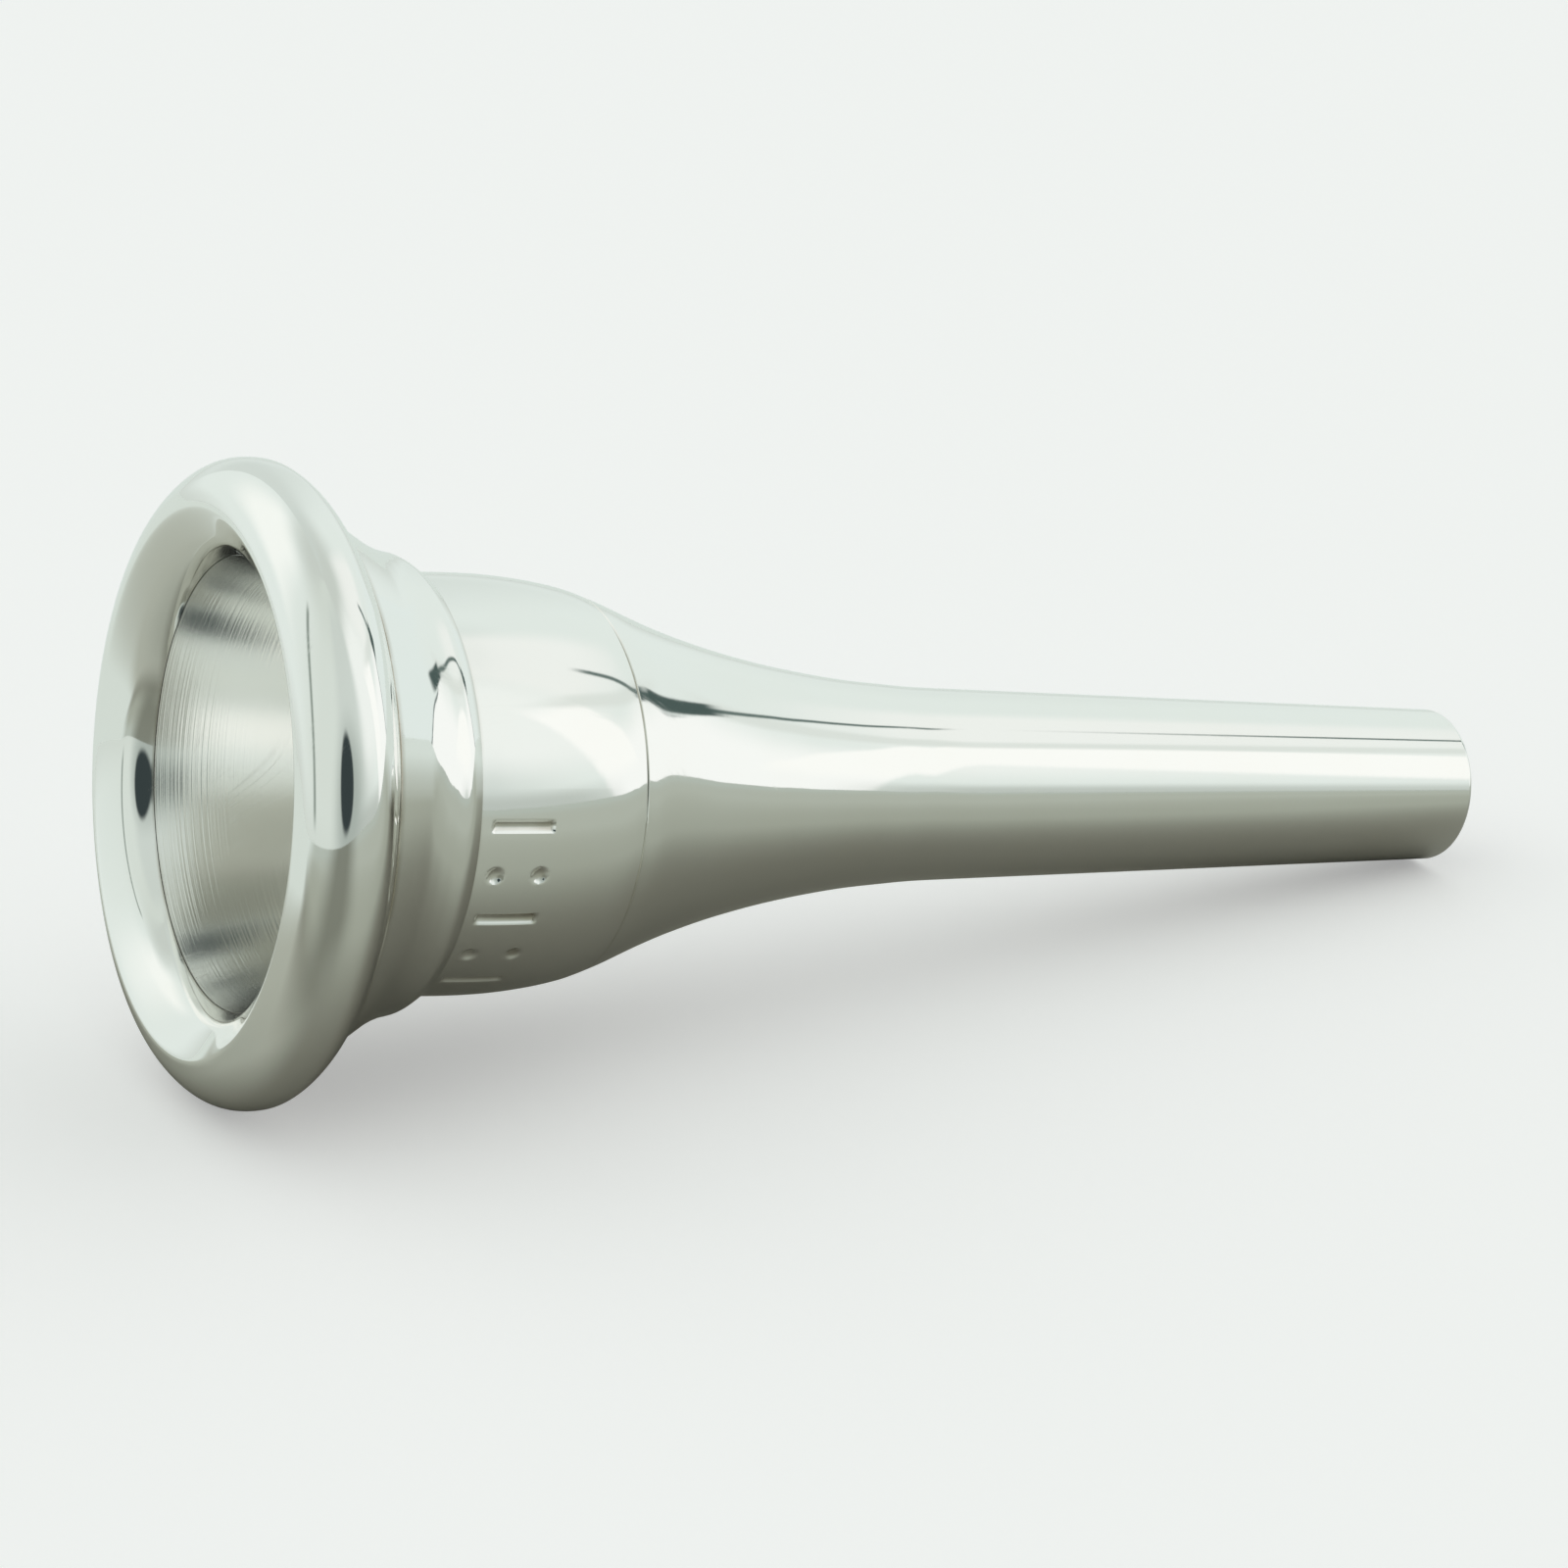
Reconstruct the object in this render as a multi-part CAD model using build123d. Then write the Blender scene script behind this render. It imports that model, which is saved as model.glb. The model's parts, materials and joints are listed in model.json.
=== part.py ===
from build123d import *
import math
import os

# French horn mouthpiece with a screwed rim, a cup and a screwed shank.
# Stations (S) run along the turning axis from the crest of the rim (0) to the
# tip of the shank. Radii (R) are from the same axis. Millimetres.

# ---- driving dimensions ----
LENGTH = 59.8              # crest of the rim to the tip of the shank
RIM_R = 12.70              # rim, outside
RIM_CREST_R = 10.81        # radius of the rim's foremost circle
RIM_WIDEST_S = 2.25        # station of the rim's widest circle
BITE_S, BITE_R = 1.90, 8.90   # inner edge of the rim, where the cup begins

SEAM_RIM_S = 4.20          # rear face of the rim, seated on the cup
SEAM_RIM_R = 10.90
SEAM_SHANK_S = 16.03       # rear face of the cup, seated on the shank
SEAM_SHANK_R = 7.74
SEAM_BREAK = 0.06          # bevel on each edge of a visible seam
END_GAP = 0.03             # between a spigot's end and the floor it faces

RIM_THREAD_R = 10.00       # spigot on the cup that carries the rim
SHANK_THREAD_R = 7.00      # spigot on the shank that carries the cup
SHANK_SPIGOT_S = 12.00     # front end of the shank's spigot
THREAD_PITCH = 0.50
THREAD_DEPTH = 0.27
THREAD_CLEAR = 0.05        # radial clearance over the thread crests

STEP_S = 8.46              # rear face of the shoulder ring
BARREL_R = 8.44            # barrel behind the shoulder

THROAT_R = 2.35
THROAT_S0, THROAT_S1 = 29.5, 33.0   # cylindrical land of the throat
TIP_R = 3.39               # outside radius of the taper at the tip
TIP_BORE_R = 2.95
TAPER_RATE = 0.026         # radius per millimetre, 0.052 on diameter
TIP_ROUND = 0.22

MARK_R = BARREL_R - 0.14   # floor of the stamped index marks
MARK_S0, MARK_S1 = 9.15, 11.75      # band that the marks sit in
MARK_PITCH = 13.5          # degrees between marks
MARK_WIDTH = 0.50          # width of a bar
MARK_DOT_R = 0.36
MARK_FIRST = 6.0           # angle of the first mark above the side line; the others follow downwards


# ---- turned profiles ----
def bore_r(s):
    """Radius of the cup's funnel at station s."""
    pts = FUNNEL
    for (s0, r0), (s1, r1) in zip(pts, pts[1:]):
        if s0 <= s <= s1:
            return r0 + (r1 - r0) * (s - s0) / (s1 - s0)
    raise ValueError(s)


FUNNEL = [(BITE_S, BITE_R), (3.2, 8.56), (SHANK_SPIGOT_S, 6.38), (26.6, 2.76)]

RIM_FRONT = [
    (BITE_S, BITE_R), (1.66, 8.97), (1.44, 9.05), (1.225, 9.15), (1.06, 9.25), (0.93, 9.35),
    (0.83, 9.45), (0.64, 9.70), (0.375, 10.10), (0.13, 10.50), (0.045, 10.66),
]
RIM_OUTER = [
    (0.03, 10.98), (0.18, 11.41), (0.39, 11.75), (0.68, 12.08), (1.00, 12.35),
    (1.35, 12.55), (1.75, 12.67),
]
RIM_BACK = [(2.63, 12.65), (2.97, 12.49), (3.31, 12.23), (3.64, 11.88), (3.93, 11.44)]

CUP_FLARE = [
    (4.60, 10.705), (5.00, 10.455), (5.40, 10.205), (5.80, 9.955), (6.10, 9.775), (6.40, 9.622), (6.70, 9.488),
    (7.00, 9.38), (7.30, 9.29),
]
SHOULDER_END = (7.74, 9.205)
SHOULDER_ROUND = [(7.95, 9.135), (8.15, 9.02)]
SHOULDER_LIP = (STEP_S, 8.82)

SHANK_CURVE = [
    (16.53, 7.57), (17.54, 7.18), (18.55, 6.78), (19.56, 6.41), (20.57, 6.08),
    (21.58, 5.78), (22.59, 5.51), (23.60, 5.27), (24.61, 5.05), (25.62, 4.86),
    (26.63, 4.69), (27.64, 4.54), (28.65, 4.41), (29.66, 4.31), (30.67, 4.23),
]


def taper_r(s):
    return TIP_R + TAPER_RATE * (LENGTH - s)


def spline(pts, t0=None, t1=None):
    vs = [Vector(s, r, 0) for s, r in pts]
    if t0 is None:
        return Edge.make_spline(vs)
    return Edge.make_spline(vs, tangents=[Vector(*t0, 0).normalized(), Vector(*t1, 0).normalized()])


def lines(pts):
    return [Edge.make_line(Vector(*a, 0), Vector(*b, 0)) for a, b in zip(pts, pts[1:])]


def thread(s0, s1, r, depth, gap0, gap1):
    """Crest line from s0 to s1 with one ring for each turn of the thread; depth > 0 cuts outward."""
    step = 1 if s1 > s0 else -1
    lo, hi = min(s0, s1) + gap0, max(s0, s1) - gap1
    n = int((hi - lo) / THREAD_PITCH + 1e-6)
    centres = [lo + THREAD_PITCH * (i + 0.5) for i in range(n)]
    if step < 0:
        centres.reverse()
    pts = [(s0, r)]
    for c in centres:
        h = 0.42 * THREAD_PITCH
        pts += [(c - step * h, r), (c, r + depth), (c + step * h, r)]
    return pts + [(s1, r)]


def turned(edges):
    wire = Wire(edges)
    return revolve(Face(wire), Axis.X, 360)


def rim():
    front = spline(
        RIM_FRONT + [(0.0, RIM_CREST_R)] + RIM_OUTER + [(RIM_WIDEST_S, RIM_R)] + RIM_BACK
        + [(SEAM_RIM_S - 0.02, SEAM_RIM_R + 0.03)],
        (-0.96, 0.27), (0.38, -0.92),
    )
    r = RIM_THREAD_R + THREAD_CLEAR
    inside = thread(SEAM_RIM_S - 0.15, BITE_S, r, THREAD_DEPTH, 0.2, 0.0)
    rest = lines(
        [(SEAM_RIM_S - 0.02, SEAM_RIM_R + 0.03), (SEAM_RIM_S, SEAM_RIM_R - 0.02), (SEAM_RIM_S, r + 0.15)]
        + inside + [(BITE_S, BITE_R)]
    )
    return turned([front] + rest)


def cup():
    s0 = BITE_S + END_GAP
    spigot = thread(s0 + 0.15, SEAM_RIM_S, RIM_THREAD_R, -THREAD_DEPTH, 0.05, 0.15)
    flare = spline([(SEAM_RIM_S + 0.03, SEAM_RIM_R + 0.036)] + CUP_FLARE + [SHOULDER_END], (1.0, -0.625), (1.0, -0.19))
    lip = spline([SHOULDER_END] + SHOULDER_ROUND + [SHOULDER_LIP], (1.0, -0.19), (1.0, -0.64))
    barrel = spline(
        [(STEP_S + 0.05, BARREL_R - 0.05), (9.47, 8.425), (10.48, BARREL_R), (11.48, 8.425), (12.49, 8.37),
         (13.50, 8.27), (14.51, 8.12), (15.52, 7.90), (SEAM_SHANK_S - SEAM_BREAK, SEAM_SHANK_R + 0.02)],
        (1.0, 0.03), (1.0, -0.33),
    )
    r = SHANK_THREAD_R + THREAD_CLEAR
    floor = SHANK_SPIGOT_S - END_GAP
    socket = thread(SEAM_SHANK_S - 0.15, floor, r, THREAD_DEPTH, 0.9, 0.2)
    edges = lines([(s0, bore_r(s0)), (s0, RIM_THREAD_R - 0.15)] + spigot
                  + [(SEAM_RIM_S, SEAM_RIM_R - 0.01), (SEAM_RIM_S + 0.03, SEAM_RIM_R + 0.036)])
    edges += [flare, lip]
    edges += lines([SHOULDER_LIP, (STEP_S, BARREL_R), (STEP_S + 0.05, BARREL_R - 0.05)])
    edges += [barrel]
    edges += lines([(SEAM_SHANK_S - SEAM_BREAK, SEAM_SHANK_R + 0.02), (SEAM_SHANK_S, SEAM_SHANK_R - SEAM_BREAK),
                    (SEAM_SHANK_S, r + 0.15)] + socket
                   + [(floor, bore_r(floor)), (3.2, bore_r(3.2)), (s0, bore_r(s0))])
    body = turned(edges)
    for tool in marks():
        body = body - tool
    return body


def marks():
    """Index marks round the barrel: bars along the axis, and pairs of round dots between them."""
    tools = []
    mid, half = (MARK_S0 + MARK_S1) / 2, (MARK_S1 - MARK_S0) / 2
    for i, kind in enumerate("bdbdb"):
        if kind == "b":
            shape = Box(2 * half, MARK_WIDTH, 2.0, align=(Align.CENTER, Align.CENTER, Align.MIN))
            pieces = [Pos(mid, 0, MARK_R) * shape]
        else:
            shape = Cylinder(MARK_DOT_R, 2.0, align=(Align.CENTER, Align.CENTER, Align.MIN))
            pieces = [Pos(mid + k * 0.72 * half, 0, MARK_R) * shape for k in (-1, 1)]
        angle = 90.0 - (MARK_FIRST - i * MARK_PITCH)
        tools += [Rot(angle, 0, 0) * p for p in pieces]
    return tools


def shank():
    r = SHANK_THREAD_R
    spigot = thread(SHANK_SPIGOT_S + 0.15, SEAM_SHANK_S, r, -THREAD_DEPTH, 0.35, 0.15)
    taper_s = 31.7
    curve = spline(
        [(SEAM_SHANK_S + SEAM_BREAK, SEAM_SHANK_R - 0.02)] + SHANK_CURVE + [(taper_s, taper_r(taper_s) + 0.03), (34.0, taper_r(34.0))],
        (1.0, -0.37), (1.0, -TAPER_RATE),
    )
    tip_s = LENGTH - TIP_ROUND
    tip = Edge.make_three_point_arc(
        Vector(tip_s, taper_r(tip_s), 0),
        Vector(LENGTH - TIP_ROUND * 0.293, taper_r(LENGTH) - TIP_ROUND * 0.293, 0),
        Vector(LENGTH, taper_r(LENGTH) - TIP_ROUND, 0),
    )
    throat_in = spline([(26.6, 2.76), (28.0, 2.46), (THROAT_S0, THROAT_R)], (1.0, -0.248), (1.0, 0.0))
    edges = lines([(SHANK_SPIGOT_S, bore_r(SHANK_SPIGOT_S)), (SHANK_SPIGOT_S, r - 0.15)] + spigot
                  + [(SEAM_SHANK_S, SEAM_SHANK_R - SEAM_BREAK - 0.02), (SEAM_SHANK_S + SEAM_BREAK, SEAM_SHANK_R - 0.02)])
    edges += [curve]
    edges += lines([(34.0, taper_r(34.0)), (tip_s, taper_r(tip_s))])
    edges += [tip]
    edges += lines([(LENGTH, taper_r(LENGTH) - TIP_ROUND), (LENGTH, TIP_BORE_R + 0.06), (LENGTH - 0.06, TIP_BORE_R),
                    (THROAT_S1, THROAT_R), (THROAT_S0, THROAT_R)])
    edges += [throat_in]
    edges += lines([(26.6, 2.76), (SHANK_SPIGOT_S, bore_r(SHANK_SPIGOT_S))])
    return turned(edges)


# ---- lying pose: the rim and the tip of the shank both touch the ground plane ----
def drop(tilt):
    """How far the rim reaches below the axis origin, less how far the tip does, for an axis tilted by tilt."""
    outline = RIM_OUTER + [(RIM_WIDEST_S, RIM_R)] + RIM_BACK
    rim_low = max(s * math.sin(tilt) + r * math.cos(tilt) for s, r in dense(outline))
    tip_low = max(s * math.sin(tilt) + r * math.cos(tilt)
                  for s, r in [(LENGTH - TIP_ROUND * (1 - math.sin(a)), TIP_R - TIP_ROUND * (1 - math.cos(a)))
                               for a in [k * math.pi / 40 for k in range(21)]])
    return rim_low, tip_low


def dense(pts):
    out = []
    e = spline(pts)
    for k in range(401):
        p = e.position_at(k / 400)
        out.append((p.X, p.Y))
    return out


def lying_tilt():
    lo, hi = math.radians(5), math.radians(15)
    for _ in range(18):
        mid = (lo + hi) / 2
        rim_low, tip_low = drop(mid)
        if rim_low > tip_low:
            lo = mid
        else:
            hi = mid
    return (lo + hi) / 2


def main():
    os.makedirs("parts", exist_ok=True)
    tilt = lying_tilt()
    nodes = {"rim": rim(), "cup": cup(), "shank": shank()}
    tilted = {n: Rot(0, math.degrees(tilt), 0) * p for n, p in nodes.items()}
    boxes = [p.bounding_box(optimal=True) for p in tilted.values()]
    low_z = min(b.min.Z for b in boxes)
    x0, x1 = min(b.min.X for b in boxes), max(b.max.X for b in boxes)
    move = Pos(-(x0 + x1) / 2, 0, -low_z)
    print("tilt %.4f deg, axis origin at (%.4f, 0, %.4f)" % (math.degrees(tilt), -(x0 + x1) / 2, -low_z))
    for name, piece in tilted.items():
        solid = (move * piece).solids()[0] if len((move * piece).solids()) == 1 else move * piece
        solid.label = name
        print(name, "solids", len(piece.solids()), "valid", solid.is_valid, "volume %.2f" % solid.volume)
        export_step(solid, "parts/%s.step" % name)


main()
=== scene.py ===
import json
import math
import bmesh
import bpy
import numpy as np
from mathutils import Matrix, Vector


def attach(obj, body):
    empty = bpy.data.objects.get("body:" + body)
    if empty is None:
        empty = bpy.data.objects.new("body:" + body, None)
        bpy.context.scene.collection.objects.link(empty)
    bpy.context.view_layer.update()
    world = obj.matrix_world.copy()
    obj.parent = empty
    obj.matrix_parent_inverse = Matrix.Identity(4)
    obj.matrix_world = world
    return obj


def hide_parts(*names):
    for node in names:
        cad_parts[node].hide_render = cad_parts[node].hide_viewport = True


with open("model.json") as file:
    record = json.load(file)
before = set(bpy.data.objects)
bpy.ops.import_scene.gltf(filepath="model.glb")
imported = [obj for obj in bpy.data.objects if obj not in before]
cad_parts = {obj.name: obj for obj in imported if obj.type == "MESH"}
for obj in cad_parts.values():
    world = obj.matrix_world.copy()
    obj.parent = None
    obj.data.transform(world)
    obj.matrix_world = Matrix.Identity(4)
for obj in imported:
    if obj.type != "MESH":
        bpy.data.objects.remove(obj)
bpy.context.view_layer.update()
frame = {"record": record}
scene = bpy.context.scene
scene.view_settings.view_transform = "Standard"
scene.view_settings.look = "None"
scene.cycles.use_denoising = True

# ---------------------------------------------------------------- the turning axis, from the record's mounts
MM = 0.001
LENGTH = 59.8
mounts = {m["name"]: m for m in frame["record"]["mounts"]}
TIP = Vector(mounts["shank_taper"]["pos_m"])
AXIS = Vector(mounts["shank_taper"]["axis"]).normalized()
SIDE = Vector((0, 1, 0))
UP = AXIS.cross(SIDE) * -1
if UP.z < 0:
    UP = -UP
ORIGIN = TIP - AXIS * LENGTH * MM
TILT = math.atan2(-AXIS.z, AXIS.x)


def place(s, r, angle):
    """Row-frame point at station s and radius r, in mm; angle 0 faces -Y and 90 degrees faces up."""
    return ORIGIN + AXIS * (s * MM) + (-SIDE * math.cos(angle) + UP * math.sin(angle)) * (r * MM)


# ---------------------------------------------------------------- camera
F_PX, SWING = 4250.0, math.radians(28.928)
elev = math.asin(math.sin(TILT) / math.sin(SWING))
azim = -math.asin(math.tan(TILT) / math.tan(elev))
back = Vector((math.sin(azim) * math.cos(elev), -math.cos(azim) * math.cos(elev), math.sin(elev)))
ahead = -back
right = ahead.cross(Vector((0, 0, 1))).normalized()
above = right.cross(ahead).normalized()
cam_data = bpy.data.cameras.new("camera")
cam = bpy.data.objects.new("camera", cam_data)
scene.collection.objects.link(cam)
cam_data.sensor_width = 36.0
cam_data.lens = F_PX / 1600.0 * 36.0
cam_data.clip_start, cam_data.clip_end = 0.005, 50.0
bite = ORIGIN + AXIS * (1.784 * MM)
cam.location = bite - right * (-21.477 * MM) - ahead * (161.813 * MM)
rot = Matrix((right, above, back)).transposed()
cam.rotation_mode = "QUATERNION"
cam.rotation_quaternion = rot.to_quaternion()
scene.camera = cam

# ---------------------------------------------------------------- turned profiles, stations and radii in mm
BITE_S, BITE_R = 1.90, 8.90
SEAM_RIM_S, SEAM_RIM_R = 4.20, 10.90
SEAM_SHANK_S, SEAM_SHANK_R = 16.03, 7.74
SEAM_BREAK, END_GAP = 0.06, 0.03
RIM_THREAD_R, SHANK_THREAD_R, SHANK_SPIGOT_S = 10.00, 7.00, 12.00
THREAD_PITCH, THREAD_DEPTH, THREAD_CLEAR = 0.50, 0.27, 0.05
STEP_S, BARREL_R = 8.46, 8.44
THROAT_R, THROAT_S0, THROAT_S1 = 2.35, 29.5, 33.0
TIP_R, TIP_BORE_R, TAPER_RATE, TIP_ROUND = 3.39, 2.95, 0.026, 0.22
MARK_DEPTH = 0.155
MARK_S0, MARK_S1, MARK_PITCH, MARK_FIRST = 9.15, 11.75, 13.5, 6.0
MARK_HALF, MARK_DOT_R = 0.27, 0.38
FUNNEL = [(BITE_S, BITE_R), (3.2, 8.56), (SHANK_SPIGOT_S, 6.38), (26.6, 2.76)]


def bore_r(s):
    for (s0, r0), (s1, r1) in zip(FUNNEL, FUNNEL[1:]):
        if s0 <= s <= s1:
            return r0 + (r1 - r0) * (s - s0) / (s1 - s0)
    return FUNNEL[-1][1]


def taper_r(s):
    return TIP_R + TAPER_RATE * (LENGTH - s)


def spline(pts, t0=None, t1=None, step=0.10):
    """Points along a smooth curve through pts, about step mm apart, with given end directions."""
    p = np.array(pts, float)
    chord = np.r_[0, np.cumsum(np.hypot(*np.diff(p, axis=0).T))]
    n = len(p)
    h = np.diff(chord)
    A = np.zeros((n, n))
    B = np.zeros((n, 2))
    for i in range(1, n - 1):
        A[i, i - 1], A[i, i], A[i, i + 1] = h[i], 2 * (h[i - 1] + h[i]), h[i - 1]
        B[i] = 3 * (h[i] * (p[i] - p[i - 1]) / h[i - 1] + h[i - 1] * (p[i + 1] - p[i]) / h[i])
    for row, t, a, b in ((0, t0, 0, 1), (n - 1, t1, n - 1, n - 2)):
        if t is None:
            A[row, a], A[row, b] = 2, 1
            k = 0 if row == 0 else n - 2
            B[row] = 3 * (p[k + 1] - p[k]) / h[k]
        else:
            t = np.array(t, float)
            A[row, row] = 1
            B[row] = t / np.hypot(*t)
    m = np.linalg.solve(A, B)
    u = np.linspace(0, chord[-1], max(int(chord[-1] / step), 4) + 1)
    k = np.clip(np.searchsorted(chord, u, side="right") - 1, 0, n - 2)
    x = (u - chord[k]) / h[k]
    x, hk = x[:, None], h[k][:, None]
    out = ((2 * x**3 - 3 * x**2 + 1) * p[k] + (x**3 - 2 * x**2 + x) * hk * m[k]
           + (-2 * x**3 + 3 * x**2) * p[k + 1] + (x**3 - x**2) * hk * m[k + 1])
    return [tuple(v) for v in out]


def run(a, b, step):
    """Points from a to b, about step mm apart."""
    n = max(int(round(math.dist(a, b) / step)), 1)
    return [(a[0] + (b[0] - a[0]) * i / n, a[1] + (b[1] - a[1]) * i / n) for i in range(n + 1)]


def thread(s0, s1, r, depth, gap0, gap1):
    step = 1 if s1 > s0 else -1
    lo, hi = min(s0, s1) + gap0, max(s0, s1) - gap1
    n = int((hi - lo) / THREAD_PITCH + 1e-6)
    centres = [lo + THREAD_PITCH * (i + 0.5) for i in range(n)]
    if step < 0:
        centres.reverse()
    pts = [(s0, r)]
    for c in centres:
        h = 0.42 * THREAD_PITCH
        pts += [(c - step * h, r), (c, r + depth), (c + step * h, r)]
    return pts + [(s1, r)]


def chain(*parts):
    out = []
    for part in parts:
        for p in part:
            if not out or math.dist(out[-1], p) > 1e-4:
                out.append(p)
    if math.dist(out[0], out[-1]) < 1e-4:
        out.pop()
    return out


def rim_profile():
    front = spline(
        [(BITE_S, BITE_R), (1.66, 8.97), (1.44, 9.05), (1.225, 9.15), (1.06, 9.25), (0.93, 9.35), (0.83, 9.45),
         (0.64, 9.70), (0.375, 10.10), (0.13, 10.50), (0.045, 10.66), (0.0, 10.81), (0.03, 10.98), (0.18, 11.41), (0.39, 11.75), (0.68, 12.08), (1.00, 12.35),
         (1.35, 12.55), (1.75, 12.67), (2.25, 12.70), (2.63, 12.65), (2.97, 12.49), (3.31, 12.23), (3.64, 11.88),
         (3.93, 11.44), (SEAM_RIM_S - 0.02, SEAM_RIM_R + 0.03)],
        (-0.96, 0.27), (0.38, -0.92), 0.07)
    r = RIM_THREAD_R + THREAD_CLEAR
    return chain(front, [(SEAM_RIM_S, SEAM_RIM_R - 0.02), (SEAM_RIM_S, r + 0.15)],
                 thread(SEAM_RIM_S - 0.15, BITE_S, r, THREAD_DEPTH, 0.2, 0.0), [(BITE_S, BITE_R)])


def cup_profile():
    s0 = BITE_S + END_GAP
    r = SHANK_THREAD_R + THREAD_CLEAR
    floor = SHANK_SPIGOT_S - END_GAP
    shoulder, lip_end = (7.74, 9.205), (STEP_S, 8.82)
    flare = spline([(SEAM_RIM_S + 0.03, SEAM_RIM_R + 0.036), (4.60, 10.705), (5.00, 10.455), (5.40, 10.205), (5.80, 9.955),
                    (6.10, 9.775), (6.40, 9.622), (6.70, 9.488), (7.00, 9.38), (7.30, 9.29), shoulder],
                   (1.0, -0.625), (1.0, -0.19), 0.08)
    lip = spline([shoulder, (7.95, 9.135), (8.15, 9.02), lip_end], (1.0, -0.19), (1.0, -0.64), 0.05)
    barrel = spline(
        [(STEP_S + 0.05, BARREL_R - 0.05), (9.47, 8.425), (10.48, BARREL_R), (11.48, 8.425), (12.49, 8.37),
         (13.50, 8.27), (14.51, 8.12), (15.52, 7.90), (SEAM_SHANK_S - SEAM_BREAK, SEAM_SHANK_R + 0.02)],
        (1.0, 0.03), (1.0, -0.33), 0.08)
    return chain(
        [(s0, bore_r(s0)), (s0, RIM_THREAD_R - 0.15)],
        thread(s0 + 0.15, SEAM_RIM_S, RIM_THREAD_R, -THREAD_DEPTH, 0.05, 0.15),
        [(SEAM_RIM_S, SEAM_RIM_R - 0.01)], flare, lip, [(STEP_S, BARREL_R)], barrel,
        [(SEAM_SHANK_S, SEAM_SHANK_R - SEAM_BREAK), (SEAM_SHANK_S, r + 0.15)],
        thread(SEAM_SHANK_S - 0.15, floor, r, THREAD_DEPTH, 0.9, 0.2),
        run((floor, bore_r(floor)), (3.2, bore_r(3.2)), 0.4), run((3.2, bore_r(3.2)), (s0, bore_r(s0)), 0.3))


def shank_profile():
    r = SHANK_THREAD_R
    ts = 31.7
    curve = spline(
        [(SEAM_SHANK_S + SEAM_BREAK, SEAM_SHANK_R - 0.02), (16.53, 7.57), (17.54, 7.18), (18.55, 6.78), (19.56, 6.41),
         (20.57, 6.08), (21.58, 5.78), (22.59, 5.51), (23.60, 5.27), (24.61, 5.05), (25.62, 4.86), (26.63, 4.69),
         (27.64, 4.54), (28.65, 4.41), (29.66, 4.31), (30.67, 4.23), (ts, taper_r(ts) + 0.03), (34.0, taper_r(34.0))],
        (1.0, -0.37), (1.0, -TAPER_RATE), 0.2)
    tip = [(LENGTH - TIP_ROUND * (1 - math.sin(a)), taper_r(LENGTH) - TIP_ROUND * (1 - math.cos(a)))
           for a in [k * math.pi / 16 for k in range(9)]]
    throat_in = spline([(26.6, 2.76), (28.0, 2.46), (THROAT_S0, THROAT_R)], (1.0, -0.248), (1.0, 0.0), 0.3)
    return chain(
        [(SHANK_SPIGOT_S, bore_r(SHANK_SPIGOT_S)), (SHANK_SPIGOT_S, r - 0.15)],
        thread(SHANK_SPIGOT_S + 0.15, SEAM_SHANK_S, r, -THREAD_DEPTH, 0.35, 0.15),
        [(SEAM_SHANK_S, SEAM_SHANK_R - SEAM_BREAK - 0.02)], curve,
        run((34.0, taper_r(34.0)), (LENGTH - TIP_ROUND, taper_r(LENGTH - TIP_ROUND)), 0.8), tip,
        [(LENGTH, TIP_BORE_R + 0.06)], run((LENGTH - 0.06, TIP_BORE_R), (THROAT_S1, THROAT_R), 1.0),
        list(reversed(throat_in)), run((26.6, 2.76), (SHANK_SPIGOT_S, bore_r(SHANK_SPIGOT_S)), 0.8))


# ---------------------------------------------------------------- meshes
def angles(count, fine=None):
    """Angles round the axis, in radians. fine is (low, high, step) in degrees for a closer stretch."""
    if fine is None:
        return [2 * math.pi * i / count for i in range(count)]
    lo, hi, step = fine
    n = int(round((hi - lo) / step))
    out = [lo + (hi - lo) * i / n for i in range(n + 1)]
    rest = 360.0 - (hi - lo)
    m = max(int(round(count * rest / 360.0)), 8)
    out += [hi + rest * i / m for i in range(1, m)]
    return [math.radians(a) for a in out]


def mark_depth(s, a):
    """Depth in mm of the stamped index marks at station s and angle a, in degrees above the side line."""
    mid, half = (MARK_S0 + MARK_S1) / 2, (MARK_S1 - MARK_S0) / 2
    r = BARREL_R
    deepest = 0.0
    for i, kind in enumerate("bdbdb"):
        centre = MARK_FIRST - i * MARK_PITCH
        across = math.radians(a - centre) * r
        along = s - mid
        if kind == "b":
            end = min(max((half + 0.04 - abs(along)) / 0.16, 0.0), 1.0)
            hollow = max(1 - (across / MARK_HALF) ** 2, 0.0) * end
        else:
            hollow = max(1 - (min(math.hypot(across, along - k * 0.72 * half) for k in (-1, 1)) / MARK_DOT_R) ** 2, 0.0)
        deepest = max(deepest, hollow)
    return deepest * MARK_DEPTH


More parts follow.
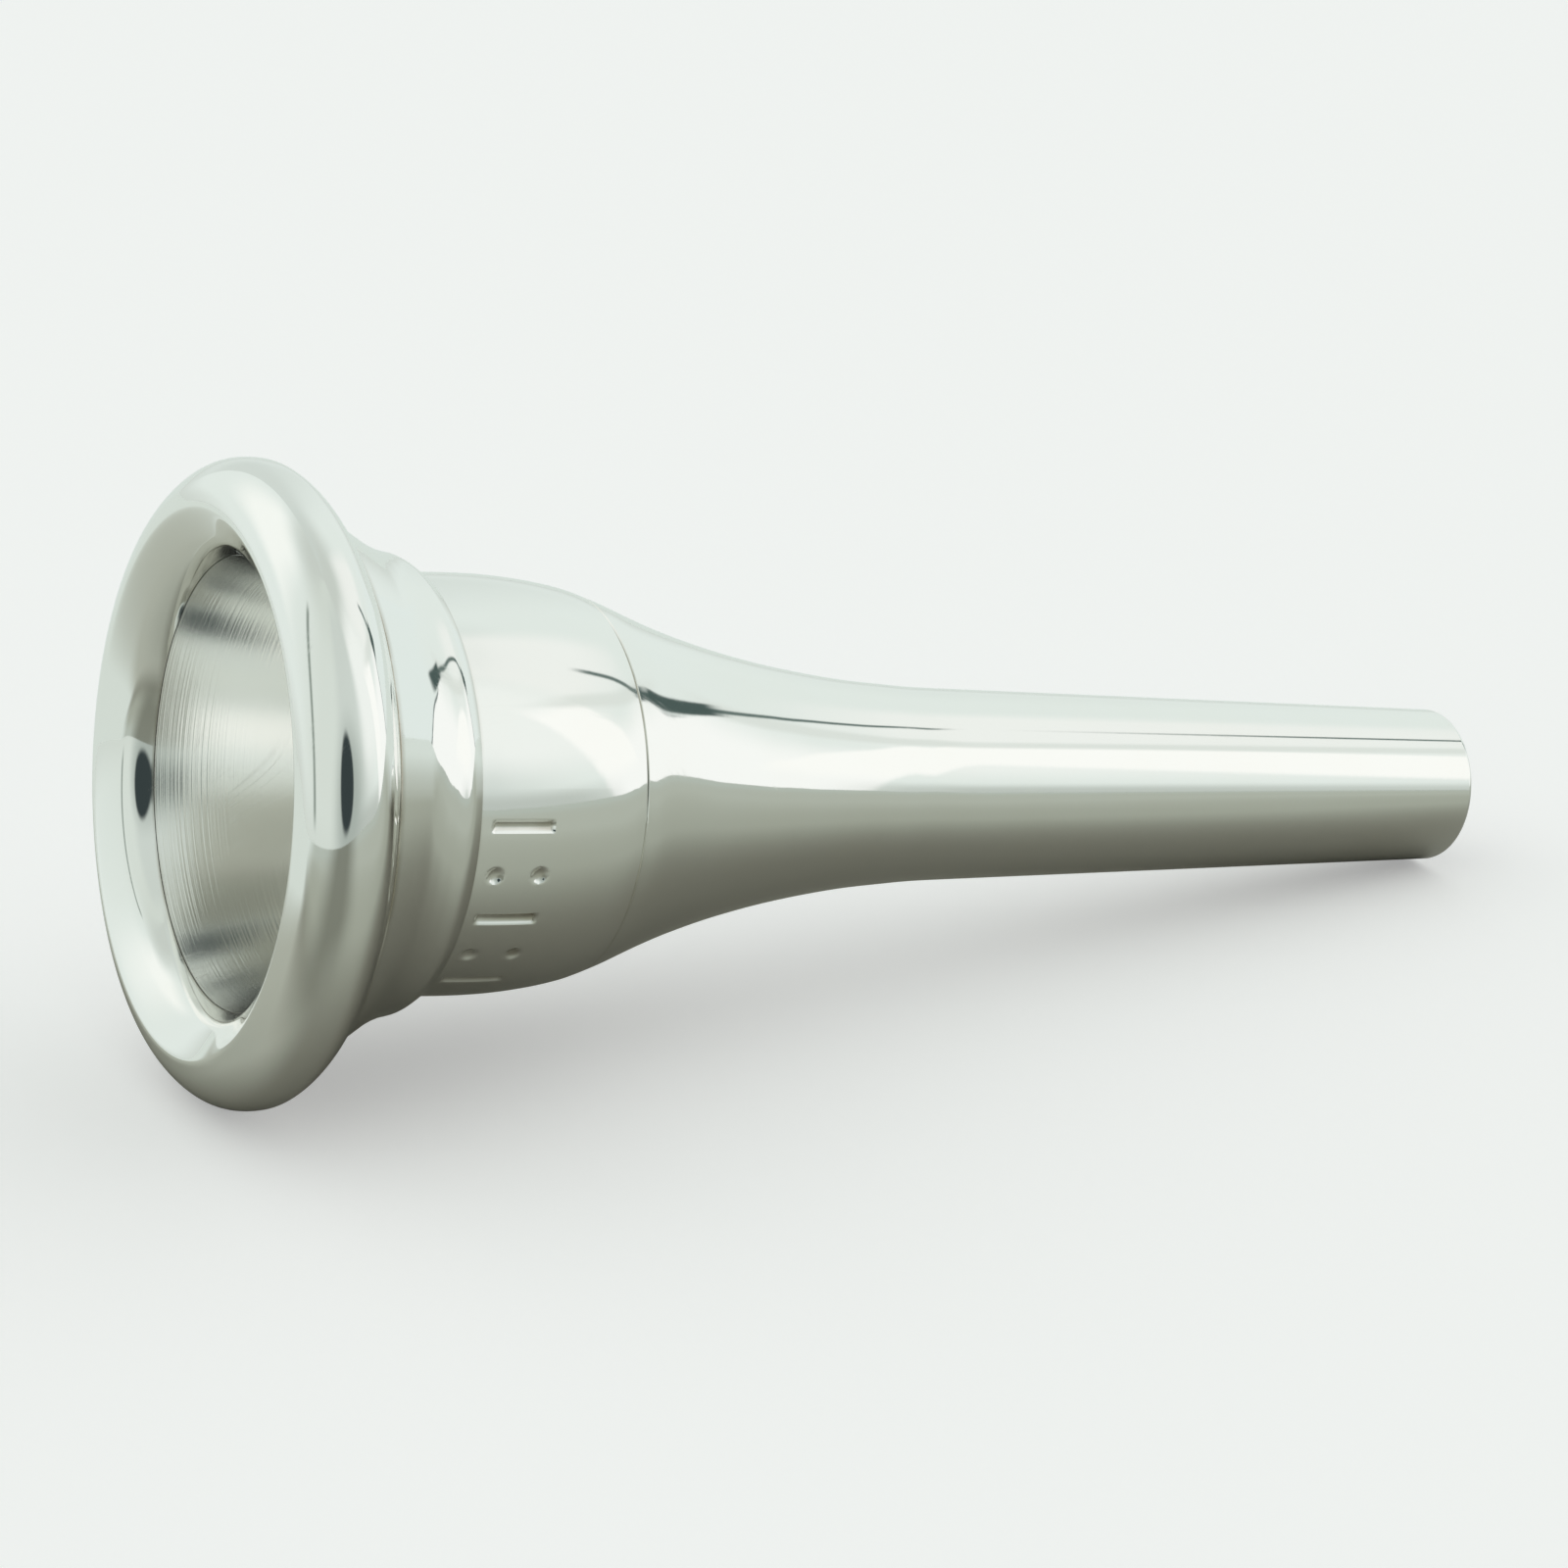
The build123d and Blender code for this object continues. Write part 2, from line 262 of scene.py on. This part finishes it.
def lathe(name, profile, angs, marks=False):
    n, m = len(profile), len(angs)
    verts, uvs = [], []
    length = np.r_[0, np.cumsum([math.dist(profile[i], profile[(i + 1) % n]) for i in range(n)])]
    for s, r in profile:
        on_band = marks and MARK_S0 - 0.3 < s < MARK_S1 + 0.3 and r > 8.0
        for a in angs:
            d = mark_depth(s, math.degrees(a)) if on_band else 0.0
            verts.append(place(s, r - d, a))
    faces = []
    for i in range(n):
        k = (i + 1) % n
        for j in range(m):
            l = (j + 1) % m
            faces.append((i * m + j, i * m + l, k * m + l, k * m + j))
    mesh = bpy.data.meshes.new(name)
    mesh.from_pydata(verts, [], faces)
    mesh.update()
    layer = mesh.uv_layers.new(name="turned")
    k = 0
    for i in range(n):
        for j in range(m):
            a0 = angs[j] / (2 * math.pi)
            a1 = (angs[j + 1] if j + 1 < m else angs[0] + 2 * math.pi) / (2 * math.pi)
            for u, v in ((a0, length[i]), (a1, length[i]), (a1, length[i + 1]), (a0, length[i + 1])):
                layer.data[k].uv = (u, v / length[-1])
                k += 1
    bm = bmesh.new()
    bm.from_mesh(mesh)
    bmesh.ops.recalc_face_normals(bm, faces=bm.faces)
    if bm.calc_volume(signed=True) < 0:
        bmesh.ops.reverse_faces(bm, faces=bm.faces)
    bm.to_mesh(mesh)
    bm.free()
    mesh.shade_smooth()
    mesh.set_sharp_from_angle(angle=math.radians(24))
    obj = bpy.data.objects.new(name, mesh)
    scene.collection.objects.link(obj)
    return obj


# ---------------------------------------------------------------- materials
class Maths:
    """Short spellings for math nodes in one node tree."""

    def __init__(self, tree):
        self.nodes, self.links = tree.nodes, tree.links

    def op(self, kind, *values):
        n = self.nodes.new("ShaderNodeMath")
        n.operation = kind
        for k, v in enumerate(values):
            if isinstance(v, (int, float)):
                n.inputs[k].default_value = v
            else:
                self.links.new(v, n.inputs[k])
        return n.outputs[0]

    def smooth(self, value, lo, hi, a=0.0, b=1.0):
        n = self.nodes.new("ShaderNodeMapRange")
        n.interpolation_type = "SMOOTHSTEP"
        self.links.new(value, n.inputs["Value"])
        n.inputs["From Min"].default_value, n.inputs["From Max"].default_value = lo, hi
        n.inputs["To Min"].default_value, n.inputs["To Max"].default_value = a, b
        return n.outputs["Result"]

    def mix(self, factor, a, b):
        n = self.nodes.new("ShaderNodeMix")
        n.data_type = "RGBA"
        self.links.new(factor, n.inputs["Factor"])
        for key, v in (("A", a), ("B", b)):
            if isinstance(v, tuple):
                n.inputs[key].default_value = (*v, 1)
            else:
                self.links.new(v, n.inputs[key])
        return n.outputs["Result"]


def nodes_of(mat):
    mat.use_nodes = True
    return mat.node_tree.nodes, mat.node_tree.links


def station_node(nodes, links):
    """Distance along the axis in metres, from object coordinates, and the coordinate itself."""
    coord = nodes.new("ShaderNodeTexCoord")
    off = nodes.new("ShaderNodeVectorMath"); off.operation = "SUBTRACT"
    off.inputs[1].default_value = ORIGIN
    links.new(coord.outputs["Object"], off.inputs[0])
    dot = nodes.new("ShaderNodeVectorMath"); dot.operation = "DOT_PRODUCT"
    dot.inputs[1].default_value = AXIS
    links.new(off.outputs[0], dot.inputs[0])
    return coord, off, dot


def silver(name, colour, rough, ring_height, ring_scale, rough_swing):
    mat = bpy.data.materials.new(name)
    nodes, links = nodes_of(mat)
    bsdf = nodes["Principled BSDF"]
    bsdf.inputs["Metallic"].default_value = 1.0
    coord, off, dot = station_node(nodes, links)
    # turning marks: noise that changes along the axis and hardly round it
    ring = nodes.new("ShaderNodeTexNoise")
    ring.noise_dimensions = "1D"
    ring.inputs["Scale"].default_value = ring_scale
    ring.inputs["Detail"].default_value = 3.0
    links.new(dot.outputs["Value"], ring.inputs["W"])
    # polishing: fine wandering scratches and cloudy variation
    cloud = nodes.new("ShaderNodeTexNoise")
    cloud.inputs["Scale"].default_value = 260.0
    cloud.inputs["Detail"].default_value = 4.0
    links.new(coord.outputs["Object"], cloud.inputs["Vector"])
    fine = nodes.new("ShaderNodeTexNoise")
    fine.inputs["Scale"].default_value = 2600.0
    fine.inputs["Detail"].default_value = 2.0
    links.new(coord.outputs["Object"], fine.inputs["Vector"])
    ramp = nodes.new("ShaderNodeMapRange")
    ramp.inputs["To Min"].default_value = rough - rough_swing
    ramp.inputs["To Max"].default_value = rough + rough_swing
    links.new(cloud.outputs["Fac"], ramp.inputs["Value"])
    links.new(ramp.outputs["Result"], bsdf.inputs["Roughness"])
    mix = nodes.new("ShaderNodeMix"); mix.data_type = "RGBA"
    mix.inputs["A"].default_value = (*colour, 1)
    mix.inputs["B"].default_value = (colour[0] * 0.985, colour[1] * 0.975, colour[2] * 0.955, 1)
    links.new(cloud.outputs["Fac"], mix.inputs["Factor"])
    links.new(mix.outputs["Result"], bsdf.inputs["Base Color"])
    add = nodes.new("ShaderNodeMath"); add.operation = "MULTIPLY_ADD"
    add.inputs[1].default_value = ring_height
    links.new(ring.outputs["Fac"], add.inputs[0])
    small = nodes.new("ShaderNodeMath"); small.operation = "MULTIPLY"
    small.inputs[1].default_value = 0.02
    links.new(fine.outputs["Fac"], small.inputs[0])
    links.new(small.outputs[0], add.inputs[2])
    # tarnish in the seams, in the step behind the shoulder and in the index marks, and hairline scratches
    m = Maths(mat.node_tree)
    s_mm = m.op("MULTIPLY", dot.outputs["Value"], 1000.0)
    along = nodes.new("ShaderNodeVectorMath"); along.operation = "SCALE"
    along.inputs[0].default_value = AXIS
    links.new(dot.outputs["Value"], along.inputs["Scale"])
    out = nodes.new("ShaderNodeVectorMath"); out.operation = "SUBTRACT"
    links.new(off.outputs[0], out.inputs[0])
    links.new(along.outputs[0], out.inputs[1])
    radius = nodes.new("ShaderNodeVectorMath"); radius.operation = "LENGTH"
    links.new(out.outputs[0], radius.inputs[0])
    r_mm = m.op("MULTIPLY", radius.outputs["Value"], 1000.0)
    dull = None
    for station, reach, most, low, high in ((SEAM_RIM_S, 0.30, 0.6, 9.6, 11.2), (STEP_S + 0.05, 0.30, 0.5, 8.2, 9.2),
                                            (SEAM_SHANK_S, 0.12, 0.45, 7.3, 8.0), (BITE_S, 0.12, 0.6, 8.6, 9.1)):
        near = m.smooth(m.op("ABSOLUTE", m.op("SUBTRACT", s_mm, station)), 0.0, reach, most, 0.0)
        near = m.op("MULTIPLY", near, m.op("MULTIPLY", m.op("GREATER_THAN", r_mm, low), m.op("LESS_THAN", r_mm, high)))
        dull = near if dull is None else m.op("MAXIMUM", dull, near)
    band = m.op("MULTIPLY", m.smooth(s_mm, MARK_S0 - 0.3, MARK_S0), m.smooth(s_mm, MARK_S1, MARK_S1 + 0.3, 1.0, 0.0))
    sunk = m.op("MULTIPLY", band, m.smooth(r_mm, BARREL_R - 0.15, BARREL_R - 0.06, 0.75, 0.0))
    dull = m.op("MAXIMUM", dull, sunk)
    dull = m.op("MULTIPLY", dull, m.smooth(cloud.outputs["Fac"], 0.34, 0.62, 0.25, 1.0))
    links.new(m.mix(dull, mix.outputs["Result"], (0.50, 0.46, 0.38)), bsdf.inputs["Base Color"])
    hair = None
    for turn_x, turn_y, seed in ((0.5, 0.2, 3.1), (-0.7, 0.9, 8.7), (1.3, -0.4, 14.2)):
        spin = nodes.new("ShaderNodeMapping")
        spin.inputs["Rotation"].default_value = (turn_x, turn_y, seed)
        spin.inputs["Scale"].default_value = (60.0, 2600.0, 60.0)
        links.new(coord.outputs["Object"], spin.inputs["Vector"])
        line = nodes.new("ShaderNodeTexNoise")
        line.inputs["Scale"].default_value = 1.0
        line.inputs["Detail"].default_value = 1.0
        links.new(spin.outputs[0], line.inputs["Vector"])
        thin = m.smooth(m.op("ABSOLUTE", m.op("SUBTRACT", line.outputs["Fac"], 0.5)), 0.0, 0.012, 1.0, 0.0)
        hair = thin if hair is None else m.op("MAXIMUM", hair, thin)
    hair = m.op("MULTIPLY", hair, m.smooth(cloud.outputs["Fac"], 0.50, 0.66))
    worn = m.op("ADD", ramp.outputs["Result"], m.op("ADD", m.op("MULTIPLY", hair, 0.10), m.op("MULTIPLY", dull, 0.22)))
    links.new(worn, bsdf.inputs["Roughness"])
    bump = nodes.new("ShaderNodeBump")
    bump.inputs["Strength"].default_value = 0.25
    bump.inputs["Distance"].default_value = 0.00002
    links.new(add.outputs[0], bump.inputs["Height"])
    links.new(bump.outputs["Normal"], bsdf.inputs["Normal"])
    return mat


polished = silver("silver_polished", (0.955, 0.955, 0.94), 0.045, 0.10, 2200.0, 0.015)
turned_cup = silver("silver_turned", (0.975, 0.975, 0.96), 0.17, 0.8, 9000.0, 0.04)

pieces = {
    "rim": lathe("rim_turned", rim_profile(), angles(288)),
    "cup": lathe("cup_turned", cup_profile(), angles(150, (-58.0, 16.0, 0.33)), marks=True),
    "shank": lathe("shank_turned", shank_profile(), angles(216)),
}
for node, obj in pieces.items():
    obj.data.materials.append(polished)
    obj.data.materials.append(turned_cup)
    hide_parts(node)
    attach(obj, node)


def inside(poly):
    """True for a face of the funnel, which faces the axis."""
    c = poly.center
    rel = Vector(c) - ORIGIN
    s = rel.dot(AXIS) / MM
    radial = rel - AXIS * rel.dot(AXIS)
    return radial.dot(poly.normal) < 0 and BITE_S < s and radial.length / MM < bore_r(s) + 0.1


for node in ("cup", "shank"):
    for poly in pieces[node].data.polygons:
        if inside(poly):
            poly.material_index = 1

# ---------------------------------------------------------------- floor
def plane(name, size, loc):
    mesh = bpy.data.meshes.new(name)
    h, w = size[0] / 2, size[1] / 2
    mesh.from_pydata([(-h, -w, 0), (h, -w, 0), (h, w, 0), (-h, w, 0)], [], [(0, 1, 2, 3)])
    obj = bpy.data.objects.new(name, mesh)
    obj.location = loc
    scene.collection.objects.link(obj)
    mat = bpy.data.materials.new(name)
    nodes, links = nodes_of(mat)
    bsdf = nodes["Principled BSDF"]
    bsdf.inputs["Roughness"].default_value = 1.0
    bsdf.inputs["Specular IOR Level"].default_value = 0.0
    mesh.materials.append(mat)
    return obj, mat, bsdf


# The camera sees the pale floor. The plate mirrors a table in the same place, as on a product photographer's bench:
# painted shade makes it grey towards the camera and dark close to the mouthpiece, and it is pale behind the mouthpiece
# and at the left.
floor, mat, bsdf = plane("floor", (6.0, 6.0), (0, 0, -0.0002))
bsdf.inputs["Base Color"].default_value = (0.80, 0.775, 0.785, 1)
bsdf.inputs["Emission Color"].default_value = (1.0, 1.0, 1.0, 1)
bsdf.inputs["Emission Strength"].default_value = 0.30
floor.visible_glossy = False

table, mat, bsdf = plane("table", (6.0, 6.0), (0, 0, 0))
table.visible_camera = False
table.visible_diffuse = False
table.visible_shadow = False
t = Maths(mat.node_tree)
coord = t.nodes.new("ShaderNodeTexCoord")
split = t.nodes.new("ShaderNodeSeparateXYZ")
t.links.new(coord.outputs["Object"], split.inputs[0])
px, py = split.outputs["X"], split.outputs["Y"]
aside = t.op("ABSOLUTE", t.op("ADD", px, 0.015))
edge_y = t.op("ADD", t.smooth(aside, 0.015, 0.075, 0.021, -0.007),
              t.op("MULTIPLY", t.op("MAXIMUM", t.op("SUBTRACT", aside, 0.075), 0.0), -0.15))
soft = t.op("ADD", 0.008, t.op("MULTIPLY", aside, 0.12))
behind = t.smooth(t.op("DIVIDE", t.op("SUBTRACT", py, edge_y), soft), -1.0, 1.0)
far = t.op("SQRT", t.op("ADD", t.op("POWER", px, 2.0), t.op("POWER", py, 2.0)))
# darker close in, where the mouthpiece shades it; the shaded strip narrows towards the tip
strip = t.smooth(px, -0.028, 0.030, 0.0145, 0.0075)
out = t.op("DIVIDE", t.op("ABSOLUTE", py), strip)
front = t.mix(t.smooth(out, 0.5, 1.9), (0.300, 0.285, 0.246), (0.520, 0.520, 0.462))
front = t.mix(t.smooth(out, 1.5, 6.5), front, (0.610, 0.614, 0.560))
front = t.mix(t.smooth(far, 0.08, 0.40), front, (0.64, 0.66, 0.62))
# the photographer's shadow, towards the camera
turn = t.op("ARCTAN2", t.op("ADD", px, 0.024), t.op("MULTIPLY", py, -1.0))
dim = t.op("MULTIPLY", t.smooth(t.op("ABSOLUTE", t.op("ADD", turn, 0.47)), 0.12, 0.62, 1.0, 0.0), t.smooth(far, 0.022, 0.05))
front = t.mix(t.op("MULTIPLY", dim, 0.9), front, (0.265, 0.262, 0.225))
whole = t.mix(behind, front, (0.96, 0.985, 0.97))
# beyond the rim the table is a plain mid grey that pales with distance
away = t.op("SQRT", t.op("ADD", t.op("POWER", t.op("ADD", px, 0.030), 2.0), t.op("POWER", py, 2.0)))
left = t.mix(t.smooth(away, 0.026, 0.068), (0.600, 0.592, 0.535), (0.95, 0.97, 0.95))
beside = t.op("MULTIPLY", t.smooth(px, -0.035, -0.0290, 1.0, 0.0), t.smooth(py, -0.017, -0.006))
t.links.new(t.mix(beside, whole, left), bsdf.inputs["Base Color"])

# ---------------------------------------------------------------- light
world = bpy.data.worlds.new("studio")
scene.world = world
world.use_nodes = True
w = Maths(world.node_tree)
bg = w.nodes["Background"]


def lin(*rgb):
    """Display values, 0 to 255, as linear light."""
    return tuple(((v / 255 + 0.055) / 1.055) ** 2.4 for v in rgb)


PLATE = 0.955            # what the plate gives back of the light that it mirrors


def glow(*rgb):
    """The light that the plate shows as these display values."""
    return tuple(v / PLATE for v in lin(*rgb))


coord = w.nodes.new("ShaderNodeTexCoord")
split = w.nodes.new("ShaderNodeSeparateXYZ")
w.links.new(coord.outputs["Generated"], split.inputs[0])
X, Y, Z = split.outputs
el = w.op("MULTIPLY", w.op("ARCSINE", Z), 180 / math.pi)
az = w.op("MULTIPLY", w.op("ARCTAN2", X, w.op("MULTIPLY", Y, -1.0)), 180 / math.pi)   # 0 faces -Y, 90 faces +X


def patch(below, a0, a1, e0, e1, soft_a, soft_e, colour, lean=0.0, amount=1.0):
    """A soft-edged panel from azimuth a0 to a1 and elevation e0 to e1, its edges blurred by soft degrees."""
    a = az if not lean else w.op("ADD", az, w.op("MULTIPLY", el, lean))
    m = w.op("MULTIPLY", w.smooth(a, a0 - soft_a / 2, a0 + soft_a / 2),
             w.smooth(a, a1 - soft_a / 2, a1 + soft_a / 2, 1, 0))
    m = w.op("MULTIPLY", m, w.smooth(el, e0 - soft_e / 2, e0 + soft_e / 2))
    m = w.op("MULTIPLY", m, w.smooth(el, e1 - soft_e / 2, e1 + soft_e / 2, 1, 0))
    if amount != 1.0:
        m = w.op("MULTIPLY", m, amount)
    return w.mix(m, below, glow(*colour))


def disc(below, a0, e0, wide, tall, inner, outer, colour):
    """A soft-edged round patch; inner and outer are fractions of its half width and half height."""
    d = w.op("SQRT", w.op("ADD", w.op("POWER", w.op("DIVIDE", w.op("SUBTRACT", az, a0), wide), 2.0),
                          w.op("POWER", w.op("DIVIDE", w.op("SUBTRACT", el, e0), tall), 2.0)))
    return w.mix(w.smooth(d, inner, outer, 1, 0), below, glow(*colour))


# the tent: pale walls, a little darker at the horizon, overhead, at the left and behind
sky = w.mix(w.smooth(el, -3, 9), glow(202, 210, 204), glow(224, 233, 229))
sky = w.mix(w.smooth(el, 48, 76), sky, glow(197, 205, 199))
sky = patch(sky, -100, 14, -20, 95, 60, 20, (208, 217, 210), amount=0.8)
sky = patch(sky, -42, 30, -4, 78, 26, 16, (198, 207, 202), amount=0.75)
sky = patch(sky, 150, 200, 6, 95, 40, 20, (200, 209, 204), amount=0.75)
sky = patch(sky, -168, -122, 24, 56, 26, 18, (246, 250, 246), amount=0.9)
sky = patch(sky, 22, 62, 16, 66, 22, 22, (238, 243, 240))
sky = patch(sky, 62, 112, 36, 64, 16, 18, (240, 243, 240), amount=0.8)
# the big softbox at the right, and the wall beyond it
sky = patch(sky, 91, 126, -30, 14, 2, 14, (223, 233, 230))
sky = patch(sky, 46, 91, -20, 24, 2.4, 16, (246, 249, 247))
sky = patch(sky, 46, 64, 10, 41, 3, 8, (250, 252, 249))
sky = patch(sky, 134, 147, 23, 43, 8, 7, (216, 223, 218), lean=1.9, amount=0.8)
# its stand: a thin pole, a dark head and a leaning arm; another stand at the left
sky = patch(sky, 90.3, 91.4, -5, 17, 0.7, 4, (112, 124, 122))
sky = patch(sky, 99.2, 101.9, 21, 44, 1.8, 5, (96, 112, 108), lean=0.30)
sky = patch(sky, 97.3, 104.9, 14.5, 24.5, 1.8, 3, (74, 90, 87), lean=0.30)
sky = patch(sky, -80.5, -76.5, 4, 52, 3, 6, (138, 149, 142), lean=0.42)
sky = patch(sky, -30, 44, -10, 6, 20, 8, (180, 188, 182), amount=0.8)
# the camera at the left
sky = disc(sky, -16, 14, 44, 34, 0.3, 1.0, (166, 176, 170))
sky = disc(sky, -22.5, 19.5, 17.5, 18, 0.78, 1.02, (54, 63, 64))
w.links.new(sky, bg.inputs["Color"])
bg.inputs["Strength"].default_value = 1.0
